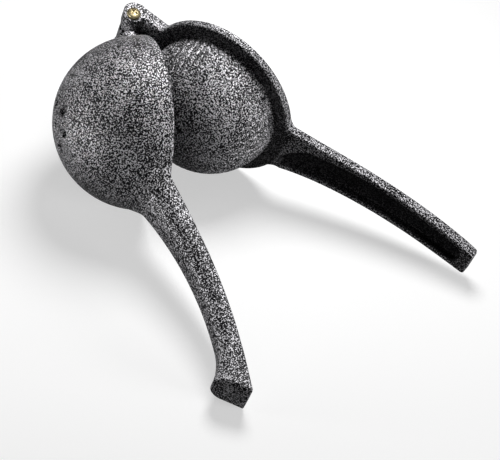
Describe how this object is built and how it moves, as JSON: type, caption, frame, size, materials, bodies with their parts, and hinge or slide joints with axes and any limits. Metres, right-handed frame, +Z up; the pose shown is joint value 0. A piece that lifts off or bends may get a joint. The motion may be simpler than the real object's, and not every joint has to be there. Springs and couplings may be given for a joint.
{
  "type": "citrus press juicer",
  "caption": "Cast two-lever hand citrus press with a drilled cup and a ribbed dome plunger, lying half open.",
  "frame": {"origin": "middle of the object's footprint on the table, with the press lying half open on its side", "axes": "+Z up, +X from the pivot towards the ends of the grips, midway between the two levers, +Y towards the press lever's side"},
  "size_m": [0.198, 0.152, 0.0802],
  "materials": {
    "hammertone_casting": "satin",
    "yellow_zinc": "satin"
  },
  "bodies": {
    "bowl_side": {"bowl_lever": "hammertone_casting"},
    "press_side": {"press_lever": "hammertone_casting", "pivot_screw": "yellow_zinc", "pivot_barrel_nut": "yellow_zinc"}
  },
  "joints": [
    {"name": "pivot", "type": "hinge", "parent": "bowl_side", "child": "press_side", "pos_m": [-0.08859, -0.00886, 0.05045], "axis": [0.2222, 0, 0.975], "range_deg": [-40, 69]}
  ]
}
